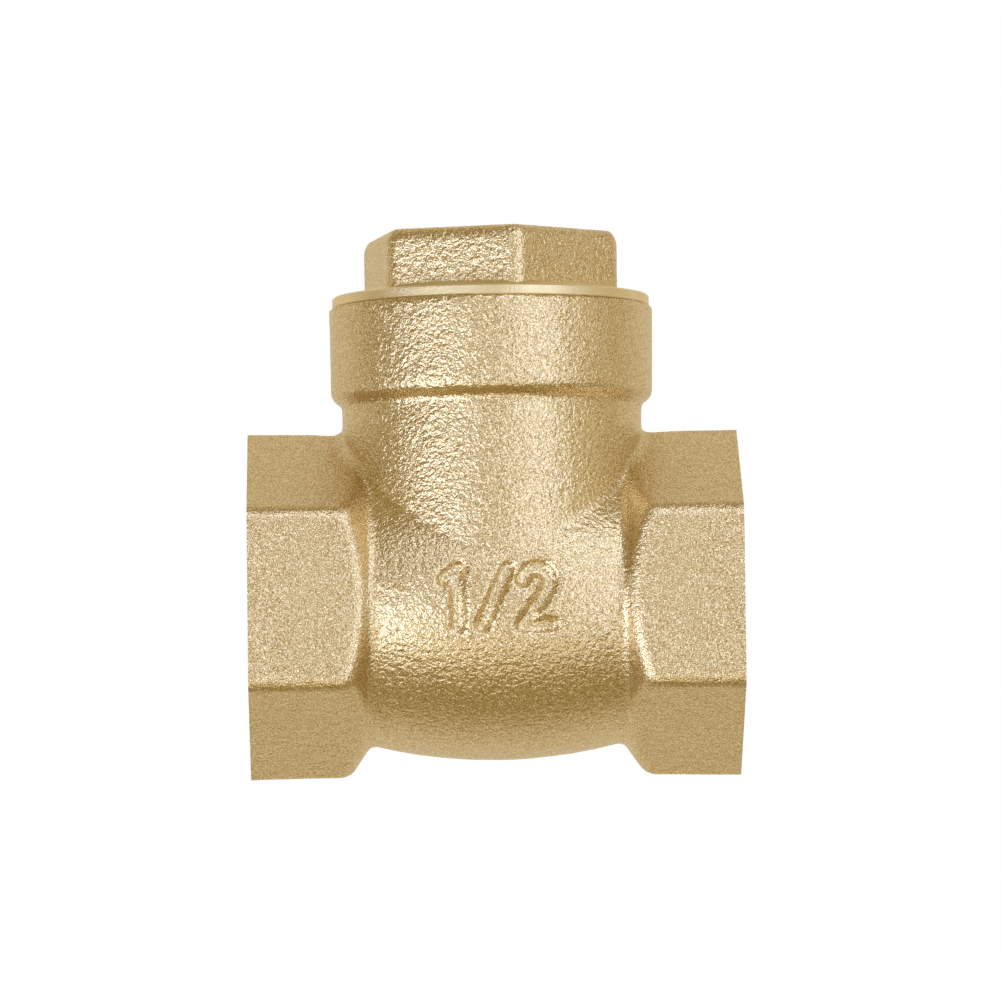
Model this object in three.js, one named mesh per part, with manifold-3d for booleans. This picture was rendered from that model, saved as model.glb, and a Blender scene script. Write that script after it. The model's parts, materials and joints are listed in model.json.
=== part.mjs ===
// Brass swing check valve, nominal size 1/2, with two threaded hexagon ends and a screwed cap.
// Millimetres, +Z up. The origin is the centre of the inlet port and the flow runs along +X.
// Every piece is shaped around the body's centre, where the flow axis meets the neck's axis,
// and the whole valve is then moved half its length along +X.
import * as THREE from "three";
import { mergeVertices } from "three/addons/utils/BufferGeometryUtils.js";
import Module from "manifold-3d";

const wasm = await Module();
wasm.setup();

// Driving dimensions of the body
const LENGTH = 43.8;
const HEX_FLATS = 27;
const HEX_DRAFT = 0.35; // how much narrower a hexagon is at its inner end
const HEX_LENGTH = 11;
// Each hexagon's shoulder is a cone: where it meets the corners, as a distance from the centre,
// and its drop in radius for each millimetre towards the centre.
const INLET_SHOULDER = { corner: 13.2, slope: 1.5 };
const OUTLET_SHOULDER = { corner: 13.6, slope: 1.45 };
const BARREL_RADIUS = 13.9;
const BARREL_CROWN = 44; // radius of the arc that makes the barrel bulge
const BARREL_REACH = 12.5; // how far the barrel runs under each hexagon's shoulder
const NECK_RADIUS = 13.4;
const COLLAR_RADIUS = 14.5;
const COLLAR_BOTTOM = 18.05;
const COLLAR_TOP = 26.6;
const COLLAR_ROUND = 1;

// Threads: a smooth wall stands for each. The ports are G 1/2 and the cap is M25 x 1.5.
const PORT_MINOR_RADIUS = 9.32;
const PORT_MAJOR_RADIUS = 10.48;
const INLET_DEPTH = 10.2; // stops short of the neck's bore, so that nothing passes round the seat
const OUTLET_DEPTH = 11.5;
const CAP_BORE_RADIUS = 12;
const CAP_THREAD_DEPTH = 8;

// Inside of the body
const CHAMBER_WALL = 2.6;
const NECK_BORE_RADIUS = 11;
const SEAT_X = -5; // where the tilted seat plane crosses the flow axis
const SEAT_TILT = THREE.MathUtils.degToRad(6);
const SEAT_BORE_RADIUS = 6.5;
const SEAT_LAND_RADIUS = 7.4;
const SEAT_LAND_HEIGHT = 0.8;
const BRIDGE_TOP = 9.4; // top of the wall that carries the seat, along the seat plane
const GASKET_POCKET_RADIUS = 13.7;
const GASKET_THICKNESS = 1;

// Hinge, in the seat's own frame: x is square to the seat, z lies in its plane
const HINGE = new THREE.Vector3(1.4, 0, 11.5);
const PIN_RADIUS = 1.5;
const PIN_HALF_LENGTH = 9.7;
const RUNNING_CLEARANCE = 0.05;
const LUG_FACE = 6.8; // half the gap between the two lugs
const LUG_RADIUS = 3.4;
const LUG_TOP = 14;

// Clapper, stacked along the seat frame's x
const CONTACT_GAP = 0.05; // left between pieces that touch
const SEAL_RADIUS = 7.6;
const SEAL_THICKNESS = 1.4;
const HOLDER_RADIUS = 8.3;
const HOLDER_RIM = 0.5; // where the holder's rim starts
const HOLDER_PLATE = 1.1;
const ARM_THICKNESS = 1.5;
const BOLT_RADIUS = 2; // the plain shoulder that the arm turns on
const BOLT_THREAD_RADIUS = 1.5;
const BOLT_HEAD_RADIUS = 2.9;
const BOLT_HEAD_HEIGHT = 1.3;
const BOLT_TIP = 7;
const WASHER_RADIUS = 3.6;
const WASHER_THICKNESS = 0.5;
const LOCK_WASHER_RADIUS = 2.9;
const LOCK_WASHER_THICKNESS = 0.6;
const NUT_FLATS = 5.5;
const NUT_HEIGHT = 1.8;

// Cap
const FLANGE_RADIUS = 14.2;
const FLANGE_THICKNESS = 0.95;
const HEAD_FLATS = 21;
const HEAD_TURN = THREE.MathUtils.degToRad(10.8); // how far a corner stands past the front
const HEAD_TOP = 33.2;
const HEAD_EDGE = 0.7; // chamfer round the head's top
const CAP_THREAD_RADIUS = 11.9;
const CAP_THREAD_LENGTH = 6.7;
const SKIRT_RADIUS = 10.7;
const SKIRT_BORE_RADIUS = 9.1;
const SKIRT_BOTTOM = 14.4;
const CAP_HOLLOW_TOP = 29;

// Sizes worked out from the ones above
const END = LENGTH / 2;
const HEX_CORNER = HEX_FLATS / Math.sqrt(3);
const INLET_END = END - INLET_DEPTH;
const CHAMBER_END = END - OUTLET_DEPTH;
const HOLDER_BACK = CONTACT_GAP + SEAL_THICKNESS + CONTACT_GAP + HOLDER_PLATE;
const ARM_FRONT = HOLDER_BACK + CONTACT_GAP;
const ARM_BACK = ARM_FRONT + ARM_THICKNESS;
const SHOULDER_END = ARM_BACK + CONTACT_GAP;
const LOCK_WASHER_FRONT = SHOULDER_END + CONTACT_GAP;
const NUT_FRONT = LOCK_WASHER_FRONT + LOCK_WASHER_THICKNESS + CONTACT_GAP;
const WASHER_FRONT = -WASHER_THICKNESS;
const EYE_RADIUS = 2.6;
const EYE_HALF = LUG_FACE - 0.2;

const ROUND = 48; // facets on a large round
const SMALL_ROUND = 28; // facets on a small round
const BEYOND = 1; // how far a cutter runs past the face it cuts

const brass = new THREE.MeshStandardMaterial({ color: 0xcfae6e, roughness: 0.42, metalness: 1 });
const turnedBrass = new THREE.MeshStandardMaterial({ color: 0xe0c27e, roughness: 0.25, metalness: 1 });
const steel = new THREE.MeshStandardMaterial({ color: 0xb9bcc0, roughness: 0.3, metalness: 1 });
const rubber = new THREE.MeshStandardMaterial({ color: 0x1c1c1e, roughness: 0.8, metalness: 0 });
const ptfe = new THREE.MeshStandardMaterial({ color: 0xf1f0ea, roughness: 0.55, metalness: 0 });

const seatFrame = new THREE.Matrix4()
  .makeTranslation(SEAT_X, 0, 0)
  .multiply(new THREE.Matrix4().makeRotationY(-SEAT_TILT));
const hingeInBody = HINGE.clone().applyMatrix4(seatFrame);

// A closed geometry as a solid, with repeated points merged and its faces turned outwards.
function solid(geometry) {
  const bare = new THREE.BufferGeometry();
  bare.setAttribute("position", geometry.getAttribute("position"));
  bare.setIndex(geometry.index);
  const merged = mergeVertices(bare);
  const corners = [];
  for (let i = 0; i < merged.index.count; i += 3) {
    const [a, b, c] = merged.index.array.slice(i, i + 3);
    if (a !== b && b !== c && c !== a) corners.push(a, b, c);
  }
  const vertProperties = merged.attributes.position.array;
  const made = (triVerts) => new wasm.Manifold(new wasm.Mesh({ numProp: 3, vertProperties, triVerts }));
  const outward = made(new Uint32Array(corners));
  return outward.volume() > 0 ? outward : made(new Uint32Array(corners.reverse()));
}

// Points along an arc, angles in degrees anticlockwise from the profile's radius axis.
function arc(centreRadius, centreHeight, radius, from, to, steps) {
  return Array.from({ length: steps + 1 }, (_, i) => {
    const angle = THREE.MathUtils.degToRad(from + ((to - from) * i) / steps);
    return [centreRadius + radius * Math.cos(angle), centreHeight + radius * Math.sin(angle)];
  });
}

// A profile of [radius, distance along the axis] turned about X or Z.
function turned(profile, axis, segments = ROUND) {
  const points = profile.map(([radius, along]) => new THREE.Vector2(radius, along));
  const geometry = new THREE.LatheGeometry(points, segments);
  return axis === "x" ? geometry.rotateZ(-Math.PI / 2) : geometry.rotateX(Math.PI / 2);
}

function disc(radius, from, to, axis, segments = ROUND) {
  return turned([[0, from], [radius, from], [radius, to], [0, to]], axis, segments);
}

function ring(inner, outer, from, to, axis, segments = ROUND) {
  return turned([[inner, from], [outer, from], [outer, to], [inner, to], [inner, from]], axis, segments);
}

function box(from, to) {
  const size = new THREE.Vector3(...to).sub(new THREE.Vector3(...from));
  const centre = new THREE.Vector3(...from).addScaledVector(size, 0.5);
  return new THREE.BoxGeometry(...size).translate(...centre);
}

// A hexagonal bar along Y, with two of its corners on Z, turned to lie along X or Z.
function hexagon([flatsFrom, flatsTo], from, to, axis) {
  const bar = new THREE.CylinderGeometry(flatsTo / Math.sqrt(3), flatsFrom / Math.sqrt(3), to - from, 6);
  bar.translate(0, (from + to) / 2, 0);
  return axis === "x" ? bar.rotateZ(-Math.PI / 2) : bar.rotateX(Math.PI / 2);
}

function mesh(name, shape, material) {
  const { vertProperties, triVerts, numProp } = shape.getMesh();
  const geometry = new THREE.BufferGeometry();
  geometry.setAttribute("position", new THREE.BufferAttribute(vertProperties, numProp));
  geometry.setIndex(new THREE.BufferAttribute(triVerts, 1));
  geometry.computeVertexNormals();
  const made = new THREE.Mesh(geometry, material);
  made.name = name;
  return made;
}

function barrelRadius(x) {
  return BARREL_RADIUS - BARREL_CROWN + Math.sqrt(BARREL_CROWN ** 2 - x ** 2);
}

// The barrel's curve between two distances, smaller all over by inset.
function barrelCurve(from, to, inset, steps) {
  return Array.from({ length: steps + 1 }, (_, i) => {
    const x = from + ((to - from) * i) / steps;
    return [barrelRadius(x) - inset, x];
  });
}

// One hexagonal end, side -1 at the inlet and 1 at the outlet: a bar trimmed by a cone.
function hexEnd(side, { corner, slope }) {
  const inner = END - HEX_LENGTH;
  const cone = [
    [0, side * inner],
    [HEX_CORNER - (corner - inner) * slope, side * inner],
    [HEX_CORNER + BEYOND, side * (corner + BEYOND / slope)],
    [HEX_CORNER + BEYOND, side * END],
    [0, side * END],
  ];
  const ends = [HEX_FLATS, HEX_FLATS - HEX_DRAFT];
  const bar = side < 0 ? hexagon(ends, -END, -inner, "x") : hexagon(ends.reverse(), inner, END, "x");
  return solid(bar).intersect(solid(turned(cone, "x")));
}

function bodyOutside() {
  const barrel = solid(
    turned(
      [[0, -BARREL_REACH], ...barrelCurve(-BARREL_REACH, BARREL_REACH, 0, 12), [0, BARREL_REACH]],
      "x",
    ),
  );
  const collarEdge = arc(
    COLLAR_RADIUS - COLLAR_ROUND, COLLAR_BOTTOM + COLLAR_ROUND, COLLAR_ROUND, -90, 0, 4,
  );
  const neck = solid(
    turned(
      [
        [0, 0],
        [NECK_RADIUS, 0],
        [NECK_RADIUS, COLLAR_BOTTOM],
        ...collarEdge,
        [COLLAR_RADIUS, COLLAR_TOP],
        [0, COLLAR_TOP],
      ],
      "z",
    ),
  );
  return barrel.add(neck).add(hexEnd(-1, INLET_SHOULDER)).add(hexEnd(1, OUTLET_SHOULDER));
}

// A port's wall with its mouth opened at 45 degrees to the thread's full size. It runs in to inner,
// where it narrows to bottom.
function port(side, inner, bottom) {
  const mouth = PORT_MAJOR_RADIUS - PORT_MINOR_RADIUS;
  const tip = inner - (PORT_MINOR_RADIUS - bottom) * 0.6;
  return solid(
    turned(
      [
        [0, side * (END + BEYOND)],
        [PORT_MAJOR_RADIUS + BEYOND, side * (END + BEYOND)],
        [PORT_MINOR_RADIUS, side * (END - mouth)],
        [PORT_MINOR_RADIUS, side * inner],
        [bottom, side * tip],
        [0, side * tip],
      ],
      "x",
    ),
  );
}

// The hollow behind the seat: the barrel's inside and the neck's bore, less the seat's bridge.
function chamber() {
  const barrel = solid(
    turned(
      [[0, -CHAMBER_END], ...barrelCurve(-CHAMBER_END, CHAMBER_END, CHAMBER_WALL, 8), [0, CHAMBER_END]],
      "x",
    ),
  );
  const neck = solid(disc(NECK_BORE_RADIUS, 0, COLLAR_TOP + BEYOND, "z"));
  const bridge = box([-END, -END, -END], [-SEAT_LAND_HEIGHT, END, BRIDGE_TOP]).applyMatrix4(seatFrame);
  return barrel.add(neck).subtract(solid(bridge));
}

function seatLand() {
  const land = disc(SEAT_LAND_RADIUS, -SEAT_LAND_HEIGHT - BEYOND, 0, "x").applyMatrix4(seatFrame);
  return solid(land);
}

// The way through the bridge: straight from the inlet, then square to the seat.
function seatBore() {
  const straight = disc(SEAT_BORE_RADIUS, -CHAMBER_END - BEYOND, SEAT_X - 1.5, "x");
  const square = disc(SEAT_BORE_RADIUS, -2.5, BEYOND, "x").applyMatrix4(seatFrame);
  return solid(straight).add(solid(square));
}

// A U-shaped outline round the hinge, open or flat at the top, pushed along Y.
function hingeOutline(radius, top, from, to) {
  const { x, z } = hingeInBody;
  const outline = new THREE.Shape();
  outline.moveTo(x + radius, top);
  outline.lineTo(x - radius, top);
  outline.lineTo(x - radius, z);
  outline.absarc(x, z, radius, Math.PI, 2 * Math.PI, false);
  outline.closePath();
  const options = { depth: to - from, bevelEnabled: false, curveSegments: 8 };
  return new THREE.ExtrudeGeometry(outline, options).rotateX(Math.PI / 2).translate(0, to, 0);
}

// The two lugs that carry the pin, each with a slot that is open at the top.
function lugs() {
  const wall = solid(disc((NECK_BORE_RADIUS + NECK_RADIUS) / 2, 0, LUG_TOP, "z"));
  const sides = [
    [LUG_FACE, NECK_RADIUS],
    [-NECK_RADIUS, -LUG_FACE],
  ];
  const [right, left] = sides.map(([from, to]) => solid(hingeOutline(LUG_RADIUS, LUG_TOP, from, to)));
  return right.add(left).intersect(wall);
}

function pinSlots() {
  const reach = PIN_HALF_LENGTH + 0.15;
  return solid(hingeOutline(PIN_RADIUS + RUNNING_CLEARANCE, LUG_TOP + BEYOND, -reach, reach));
}

function valveBody() {
  const capThread = solid(disc(CAP_BORE_RADIUS, COLLAR_TOP - CAP_THREAD_DEPTH, COLLAR_TOP + BEYOND, "z"));
  const gasketPocket = solid(
    disc(GASKET_POCKET_RADIUS, COLLAR_TOP - GASKET_THICKNESS, COLLAR_TOP + BEYOND, "z"),
  );
  return bodyOutside()
    .subtract(chamber())
    .add(seatLand())
    .add(lugs())
    .subtract(pinSlots())
    .subtract(port(-1, INLET_END, SEAT_BORE_RADIUS))
    .subtract(port(1, CHAMBER_END, PORT_MINOR_RADIUS))
    .subtract(seatBore())
    .subtract(capThread)
    .subtract(gasketPocket);
}

function hingePin() {
  const { x, z } = hingeInBody;
  const chamfer = 0.3;
  const profile = [
    [0, -PIN_HALF_LENGTH],
    [PIN_RADIUS - chamfer, -PIN_HALF_LENGTH],
    [PIN_RADIUS, -PIN_HALF_LENGTH + chamfer],
    [PIN_RADIUS, PIN_HALF_LENGTH - chamfer],
    [PIN_RADIUS - chamfer, PIN_HALF_LENGTH],
    [0, PIN_HALF_LENGTH],
  ];
  return solid(turned(profile, "x", SMALL_ROUND).rotateZ(Math.PI / 2).translate(x, 0, z));
}

function bonnetCap() {
  const flangeBottom = COLLAR_TOP + CONTACT_GAP;
  const flangeTop = flangeBottom + FLANGE_THICKNESS;
  const headCorner = HEAD_FLATS / Math.sqrt(3);
  const bar = hexagon([HEAD_FLATS, HEAD_FLATS], flangeTop, HEAD_TOP, "z").rotateZ(HEAD_TURN);
  const head = solid(bar).intersect(
    solid(
      turned(
        [
          [0, flangeTop],
          [headCorner + 1, flangeTop],
          [headCorner + 1, HEAD_TOP - HEAD_EDGE - 1],
          [headCorner - HEAD_EDGE, HEAD_TOP],
          [0, HEAD_TOP],
        ],
        "z",
      ),
    ),
  );
  const threadBottom = flangeBottom - CAP_THREAD_LENGTH;
  const stem = turned(
    [
      [0, SKIRT_BOTTOM],
      [SKIRT_RADIUS, SKIRT_BOTTOM],
      [SKIRT_RADIUS, threadBottom],
      [CAP_THREAD_RADIUS - 0.5, threadBottom],
      [CAP_THREAD_RADIUS, threadBottom + 0.5],
      [CAP_THREAD_RADIUS, flangeBottom],
      [FLANGE_RADIUS, flangeBottom],
      [FLANGE_RADIUS, flangeTop],
      [headCorner - 0.6, flangeTop + 0.5],
      [0, flangeTop + 0.5],
    ],
    "z",
  );
  const hollow = turned(
    [
      [0, SKIRT_BOTTOM - BEYOND],
      [SKIRT_BORE_RADIUS, SKIRT_BOTTOM - BEYOND],
      [SKIRT_BORE_RADIUS, CAP_HOLLOW_TOP - 3],
      [SKIRT_BORE_RADIUS - 3, CAP_HOLLOW_TOP],
      [0, CAP_HOLLOW_TOP],
    ],
    "z",
  );
  return solid(stem).add(head).subtract(solid(hollow));
}

function capGasket() {
  const bottom = COLLAR_TOP - GASKET_THICKNESS + CONTACT_GAP;
  return solid(ring(CAP_BORE_RADIUS + 0.55, GASKET_POCKET_RADIUS - 0.1, bottom, COLLAR_TOP, "z"));
}

// The pieces below are shaped in the seat's own frame.

function sealDisc() {
  const front = CONTACT_GAP;
  return solid(ring(BOLT_RADIUS + 0.1, SEAL_RADIUS, front, front + SEAL_THICKNESS, "x"));
}

function sealWasher() {
  return solid(ring(BOLT_RADIUS + 0.1, WASHER_RADIUS, WASHER_FRONT, 0, "x", SMALL_ROUND));
}

// A shallow cup that holds the seal's edge.
function discHolder() {
  const pocket = SEAL_RADIUS + 0.1;
  const plateFront = HOLDER_BACK - HOLDER_PLATE;
  const bolt = BOLT_RADIUS + CONTACT_GAP;
  return solid(
    turned(
      [
        [bolt, plateFront],
        [pocket, plateFront],
        [pocket, HOLDER_RIM],
        [HOLDER_RADIUS, HOLDER_RIM],
        [HOLDER_RADIUS, HOLDER_BACK - 0.3],
        [HOLDER_RADIUS - 0.3, HOLDER_BACK],
        [bolt, HOLDER_BACK],
        [bolt, plateFront],
      ],
      "x",
    ),
  );
}

// A flat blade with a round foot, widening to a barrel that turns on the pin.
function hingeArm() {
  const footRadius = 3.6;
  const topHalf = 4.6;
  const outline = new THREE.Shape();
  outline.moveTo(topHalf, HINGE.z);
  outline.lineTo(-topHalf, HINGE.z);
  outline.lineTo(-footRadius, 0);
  outline.absarc(0, 0, footRadius, Math.PI, 2 * Math.PI, false);
  outline.closePath();
  const options = { depth: ARM_THICKNESS, bevelEnabled: false, curveSegments: 12 };
  const blade = new THREE.ExtrudeGeometry(outline, options);
  // the outline's x becomes Y and its y becomes Z, and the depth runs along X
  blade.applyMatrix4(new THREE.Matrix4().set(0, 0, 1, ARM_FRONT, 1, 0, 0, 0, 0, 1, 0, 0, 0, 0, 0, 1));
  const acrossHinge = (radius, half) =>
    solid(disc(radius, -half, half, "x", SMALL_ROUND).rotateZ(Math.PI / 2).translate(HINGE.x, 0, HINGE.z));
  const boltHole = solid(disc(BOLT_RADIUS + RUNNING_CLEARANCE, 0, ARM_BACK + BEYOND, "x", SMALL_ROUND));
  return solid(blade)
    .add(acrossHinge(EYE_RADIUS, EYE_HALF))
    .subtract(boltHole)
    .subtract(acrossHinge(PIN_RADIUS + RUNNING_CLEARANCE, EYE_HALF + BEYOND));
}

function discBolt() {
  const headBack = WASHER_FRONT - CONTACT_GAP;
  const headFront = headBack - BOLT_HEAD_HEIGHT;
  const profile = [
    [0, headFront],
    [BOLT_HEAD_RADIUS - 0.8, headFront],
    [BOLT_HEAD_RADIUS, headFront + 0.6],
    [BOLT_HEAD_RADIUS, headBack],
    [BOLT_RADIUS, headBack],
    [BOLT_RADIUS, SHOULDER_END],
    [BOLT_THREAD_RADIUS, SHOULDER_END],
    [BOLT_THREAD_RADIUS, BOLT_TIP - 0.3],
    [BOLT_THREAD_RADIUS - 0.3, BOLT_TIP],
    [0, BOLT_TIP],
  ];
  const slot = box([headFront - BEYOND, -0.4, -BOLT_HEAD_RADIUS - 1], [headFront + 0.7, 0.4, BOLT_HEAD_RADIUS + 1]);
  return solid(turned(profile, "x", SMALL_ROUND)).subtract(solid(slot));
}

// A spring washer: a ring with one cut.
function lockWasher() {
  const back = LOCK_WASHER_FRONT + LOCK_WASHER_THICKNESS;
  const inner = BOLT_THREAD_RADIUS + 0.1;
  const whole = solid(ring(inner, LOCK_WASHER_RADIUS, LOCK_WASHER_FRONT, back, "x", SMALL_ROUND));
  const cut = box([0, -0.25, inner - BEYOND], [BOLT_TIP, 0.25, LOCK_WASHER_RADIUS + BEYOND]);
  return whole.subtract(solid(cut));
}

function discNut() {
  const bar = hexagon([NUT_FLATS, NUT_FLATS], NUT_FRONT, NUT_FRONT + NUT_HEIGHT, "x");
  const inner = BOLT_THREAD_RADIUS + CONTACT_GAP;
  const hole = disc(inner, NUT_FRONT - BEYOND, NUT_FRONT + NUT_HEIGHT + BEYOND, "x", SMALL_ROUND);
  return solid(bar).subtract(solid(hole));
}

function clapper() {
  const group = new THREE.Group();
  group.applyMatrix4(seatFrame);
  group.add(
    mesh("hinge_arm", hingeArm(), turnedBrass),
    mesh("disc_holder", discHolder(), turnedBrass),
    mesh("seal_disc", sealDisc(), rubber),
    mesh("seal_washer", sealWasher(), steel),
    mesh("disc_bolt", discBolt(), steel),
    mesh("lock_washer", lockWasher(), steel),
    mesh("disc_nut", discNut(), steel),
  );
  return group;
}

const valve = new THREE.Group();
valve.position.x = END;
valve.add(
  mesh("valve_body", valveBody(), brass),
  mesh("hinge_pin", hingePin(), steel),
  mesh("bonnet_cap", bonnetCap(), brass),
  mesh("cap_gasket", capGasket(), ptfe),
  clapper(),
);

export default valve;
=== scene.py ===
"""A 1/2 brass swing check valve: a sand-blasted forging with machined ends, threads and seat.

Lengths are in millimetres until a mesh is made. The body's own coordinates have their origin where
the flow axis meets the neck's axis, with X along the flow and Z up the neck.
"""

import itertools
import json
import math

import bmesh
import bpy
import numpy as np
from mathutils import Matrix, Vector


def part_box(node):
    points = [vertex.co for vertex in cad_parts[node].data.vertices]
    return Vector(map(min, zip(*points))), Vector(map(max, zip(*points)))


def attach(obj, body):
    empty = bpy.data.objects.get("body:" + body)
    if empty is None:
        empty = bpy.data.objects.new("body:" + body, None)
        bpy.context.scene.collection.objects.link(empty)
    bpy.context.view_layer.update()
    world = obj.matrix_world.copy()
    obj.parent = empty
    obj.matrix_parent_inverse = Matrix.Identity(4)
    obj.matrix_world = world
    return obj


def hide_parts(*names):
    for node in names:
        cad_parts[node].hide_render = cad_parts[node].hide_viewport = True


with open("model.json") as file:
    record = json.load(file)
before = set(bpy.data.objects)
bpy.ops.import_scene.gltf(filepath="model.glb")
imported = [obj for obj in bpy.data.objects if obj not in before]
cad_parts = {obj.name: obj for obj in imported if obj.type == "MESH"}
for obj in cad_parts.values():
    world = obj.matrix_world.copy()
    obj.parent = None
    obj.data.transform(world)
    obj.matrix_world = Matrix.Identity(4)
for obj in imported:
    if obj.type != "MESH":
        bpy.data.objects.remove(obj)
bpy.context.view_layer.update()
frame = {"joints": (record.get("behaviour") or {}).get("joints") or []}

import openvdb
from mathutils import Matrix, Vector

MM = 0.001

# Sizes that come from the frame
body_low, body_high = (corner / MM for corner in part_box("valve_body"))
cap_low, cap_high = (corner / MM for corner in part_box("bonnet_cap"))
END = (body_high.x - body_low.x) / 2
HEX_CORNER = -body_low.z
HEX_FLAT = HEX_CORNER * math.sqrt(3) / 2
COLLAR_RADIUS = body_high.y
COLLAR_TOP = body_high.z
FLANGE_RADIUS = cap_high.y
HEAD_TOP = cap_high.z
SKIRT_BOTTOM = cap_low.z
CENTRE = Vector((END, 0, 0))

# The forging
HEX_DRAFT = 0.35
HEX_LENGTH = 11
HEX_EDGE = 0.75
HEX_PARTING_EDGE = 0.25
INLET_SHOULDER = {"corner": 13.2, "slope": 1.5}
OUTLET_SHOULDER = {"corner": 13.6, "slope": 1.45}
SHOULDER_ROUND = 0.65
BARREL_RADIUS = 13.9
BARREL_CROWN = 44
BARREL_REACH = 12.5
NECK_RADIUS = 13.4
COLLAR_BOTTOM = 18.05
COLLAR_ROUND = 1.0
COLLAR_DRAFT = 0.12
INSIDE = 0.015  # keeps the rough skin inside the CAD's box
COLLAR_TOP_ROUND = 0.4
ROOT_FILLET = 0.55
NECK_FILLET = 0.9
COLLAR_FILLET = 0.5
FORGING_RELIEF = 0.02
FORGING_LUMP = 3.1
FINE_LUMP = 0.7
FORGING_VOXEL = 0.29
END_MARGIN = 1.5
SIDE_MARGIN = 1.2
TOP_MARGIN = 1.8

# The nominal size on the barrel
MARK_DEPTH = 0.62
MARK_HALF_HEIGHT = 2.5
MARK_STROKE = 1.8
MARK_CURVE_STROKE = 1.9
HOOK_CENTRE = (3.5, 1.3)
HOOK_RADIUS = 1.2
GROOVE_SIDE = 0.72  # the share of a groove's half width that slopes

# Ports, seat and cap thread
PORT_THREAD = {"minor": 9.32, "depth": 1.16, "pitch": 1.814}
CAP_THREAD = {"minor": 11.69, "depth": 0.81, "pitch": 1.5}
INLET_DEPTH = 10.2
OUTLET_DEPTH = 11.5
MOUTH_DEPTH = 1.6
THREAD_FADE = 0.8
PORT_CONE_SLOPE = 0.6
CHAMBER_WALL = 2.6
CHAMBER_STEPS = 24
NECK_BORE_RADIUS = 11
SEAT_BORE_RADIUS = 6.5
SEAT_BORE_DEPTH = 2.5
STRAIGHT_BORE_STOP = 1.5  # how far in front of the seat the inlet's straight bore ends
SEAT_LAND_RADIUS = 7.4
SEAT_LAND_HEIGHT = 0.8
SEAT_LAND_ROOT = 0.5
BRIDGE_TOP = 9.4
GASKET_POCKET_RADIUS = 13.7
GASKET_BORE_RADIUS = 12.55
GASKET_THICKNESS = 1
COLLAR_THREAD_DEPTH = 8
COLLAR_THREAD_RUNOUT = 0.6

# Hinge
PIN_RADIUS = 1.5
PIN_HALF_LENGTH = 9.7
PIN_END_GAP = 0.15
RUNNING_CLEARANCE = 0.05
LUG_FACE = 6.8
LUG_RADIUS = 3.4
LUG_TOP = 14

# Clapper, stacked along the seat's axis from the seat's face
GAP = 0.05
SIDE_GAP = 0.1
SEAL_RADIUS = 7.6
SEAL_THICKNESS = 1.4
HOLDER_RADIUS = 8.3
HOLDER_RIM = 0.5
HOLDER_PLATE = 1.1
HOLDER_STEP = 0.15
ARM_THICKNESS = 1.5
ARM_FOOT_RADIUS = 3.6
ARM_EDGE = 0.3
ARM_FILLET = 0.7
ARM_VOXEL = 0.15
ARM_MARGIN = 0.6
EYE_RADIUS = 2.6
EYE_FRONT = -1.8
EYE_EDGE = 0.2
EYE_SIDE_GAP = 0.2
BOLT_RADIUS = 2
BOLT_THREAD_RADIUS = 1.5
BOLT_THREAD = {"minor": BOLT_THREAD_RADIUS - 0.27, "depth": 0.27, "pitch": 0.5}
BOLT_HEAD_RADIUS = 2.9
BOLT_HEAD_HEIGHT = 1.3
BOLT_DOME_HEIGHT = 0.6
BOLT_DOME_ANGLE = 1.2
BOLT_SLOT_HALF_WIDTH = 0.4
BOLT_SLOT_DEPTH = 0.75
BOLT_TIP = 7
BOLT_TIP_CHAMFER = 0.3
WASHER_RADIUS = 3.6
WASHER_THICKNESS = 0.5
LOCK_WASHER_RADIUS = 2.9
LOCK_WASHER_THICKNESS = 0.6
LOCK_WASHER_SPLIT = 0.14
LOCK_WASHER_LEAN = math.radians(25)
NUT_FLATS = 5.5
NUT_HEIGHT = 1.8
NUT_CHAMFER_SLOPE = 0.58

# Cap
FLANGE_THICKNESS = 0.95
HEAD_FLAT = 10.5
HEAD_TURN = math.radians(10.8)
HEAD_EDGE = 0.8
HEAD_TOP_ROUND = 1.15
HEAD_CHAMFER_RADIUS = 11.3
HEAD_CHAMFER_SLOPE = 0.42
HEAD_RELIEF = 0.015
HEAD_LUMP = 2.6
BASE_BAND = 0.5
FLANGE_LOW_EDGE = 0.1
FLANGE_HIGH_EDGE = 0.15
CAP_THREAD_LENGTH = 6.7
CAP_THREAD_CLEARANCE = 0.08
STEM_TIP_CHAMFER = 0.3
STEM_GROOVE_LENGTH = 0.8
STEM_GROOVE_DEPTH = 0.1
SKIRT_RADIUS = 10.7
SKIRT_BORE_RADIUS = 9.1
CAP_HOLLOW_TOP = 29
CAP_HOLLOW_CHAMFER = 3
CAP_VOXEL = 0.2

HOLDER_BACK = GAP + SEAL_THICKNESS + GAP + HOLDER_PLATE
ARM_FRONT = HOLDER_BACK + GAP
ARM_BACK = ARM_FRONT + ARM_THICKNESS
SHOULDER_END = ARM_BACK + GAP
LOCK_WASHER_FRONT = SHOULDER_END + GAP
NUT_FRONT = LOCK_WASHER_FRONT + LOCK_WASHER_THICKNESS + GAP

joints = {joint["name"]: joint for joint in frame["joints"]}
seat_axis = Vector(joints["disc_spin"]["axis"])
seat_centre = Vector(joints["disc_spin"]["pos_m"]) / MM - CENTRE
hinge = Vector(joints["clapper_swing"]["pos_m"]) / MM - CENTRE
SEAT_TILT = math.atan2(seat_axis.z, seat_axis.x)
SEAT = Matrix.Translation(seat_centre) @ Matrix.Rotation(-SEAT_TILT, 4, "Y")
HINGE_IN_SEAT = SEAT.inverted() @ hinge

# Turns that point a shape's Z axis another way
TO_X = Matrix.Rotation(math.pi / 2, 4, "Y")
TO_MINUS_X = Matrix.Rotation(-math.pi / 2, 4, "Y")
TO_Y = Matrix.Rotation(-math.pi / 2, 4, "X")
STAY = Matrix.Identity(4)

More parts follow.
